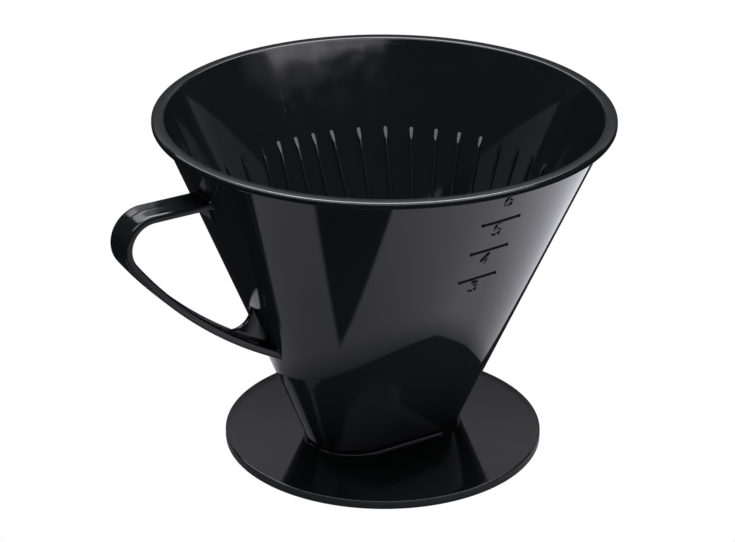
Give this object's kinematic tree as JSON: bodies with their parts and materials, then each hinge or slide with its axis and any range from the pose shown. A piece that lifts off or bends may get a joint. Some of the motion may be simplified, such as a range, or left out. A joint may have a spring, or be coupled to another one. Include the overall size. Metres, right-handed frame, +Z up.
{
  "type": "pour over dripper",
  "caption": "Flared coffee filter cone with an oval foot on a round base plate, inside drain ribs, a side strap handle and a cup scale.",
  "frame": {"origin": "centre of the base plate's underside, on the axis of the middle drip hole", "axes": "+Z up, towards the mouth; +X away from the handle, along the oval foot; -Y is the front, with the cup scale"},
  "size_m": [0.193, 0.168, 0.1304],
  "materials": {
    "black_plastic": "polished"
  },
  "bodies": {
    "root": {"cone_wall": "black_plastic", "pouring_lip": "black_plastic", "filter_floor": "black_plastic", "drip_spouts": "black_plastic", "foot_collar": "black_plastic", "base_plate": "black_plastic", "centring_ring": "black_plastic", "handle_strap": "black_plastic", "upper_handle_web": "black_plastic", "lower_handle_web": "black_plastic", "front_ribs": "black_plastic", "back_ribs": "black_plastic", "handle_end_ribs": "black_plastic", "far_end_ribs": "black_plastic", "cup_lines": "black_plastic", "cup_numerals": "black_plastic"}
  },
  "joints": []
}
